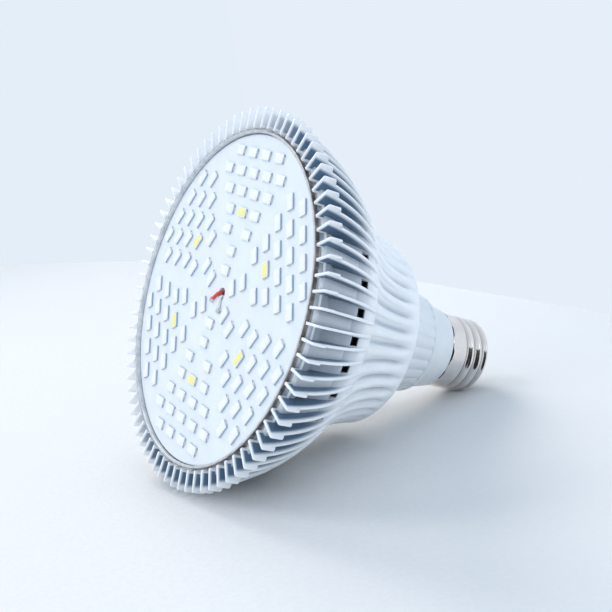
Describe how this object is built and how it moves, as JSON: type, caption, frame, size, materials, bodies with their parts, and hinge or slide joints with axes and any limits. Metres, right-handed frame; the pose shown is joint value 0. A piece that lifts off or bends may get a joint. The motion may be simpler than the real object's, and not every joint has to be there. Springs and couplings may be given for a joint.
{
  "type": "led grow light bulb",
  "caption": "Round LED grow bulb with a finned, pleated aluminium heat sink, a flat light board in front and a 27 mm screw base behind a faceted plastic neck.",
  "frame": {"origin": "centre of the circle of fin fronts, on the plane that the fin fronts stand on", "axes": "+Z along the lamp axis from the light board to the screw base; the light shines towards -Z; +X along the axis of the first LED sector"},
  "size_m": [0.1204, 0.1204, 0.1117],
  "materials": {
    "white_coated_casting": "white powder coat",
    "bare_aluminium": "turned",
    "silicone_pad": "matt",
    "white_solder_mask": "white solder mask on an aluminium core",
    "led_body": "moulded",
    "clear_silicone": "clear",
    "phosphor_silicone": "phosphor-filled",
    "red_insulation": "extruded",
    "white_insulation": "extruded",
    "black_insulation": "extruded",
    "solder": "smooth",
    "white_plastic": "moulded",
    "zinc_plated_steel": "plated",
    "nickel_plated_brass": "nickel plated",
    "black_insulator": "moulded",
    "board_laminate": "paper laminate",
    "ferrite": "sintered",
    "coil_tape": "tape",
    "capacitor_sleeve": "shrink sleeve",
    "film_capacitor_case": "moulded",
    "resistor_coat": "coated",
    "black_epoxy": "moulded",
    "chip_ceramic": "glazed"
  },
  "bodies": {
    "root": {"heat_sink": "white_coated_casting", "board_tray": "bare_aluminium", "thermal_pad": "silicone_pad", "led_board": "white_solder_mask", "led_packages": "led_body", "colour_windows": "clear_silicone", "warm_windows": "phosphor_silicone", "red_lead": "red_insulation", "white_lead": "white_insulation", "live_lead": "red_insulation", "neutral_lead": "black_insulation", "solder_joints": "solder", "neck_housing": "white_plastic", "neck_screws": "zinc_plated_steel", "screw_shell": "nickel_plated_brass", "base_insulator": "black_insulator", "centre_contact": "nickel_plated_brass", "driver_board": "board_laminate", "transformer_core": "ferrite", "transformer_coil": "coil_tape", "electrolytic_capacitors": "capacitor_sleeve", "film_capacitor": "film_capacitor_case", "fuse_resistor": "resistor_coat", "bridge_rectifier": "black_epoxy", "control_chip": "black_epoxy", "chip_resistors": "chip_ceramic"}
  },
  "joints": []
}
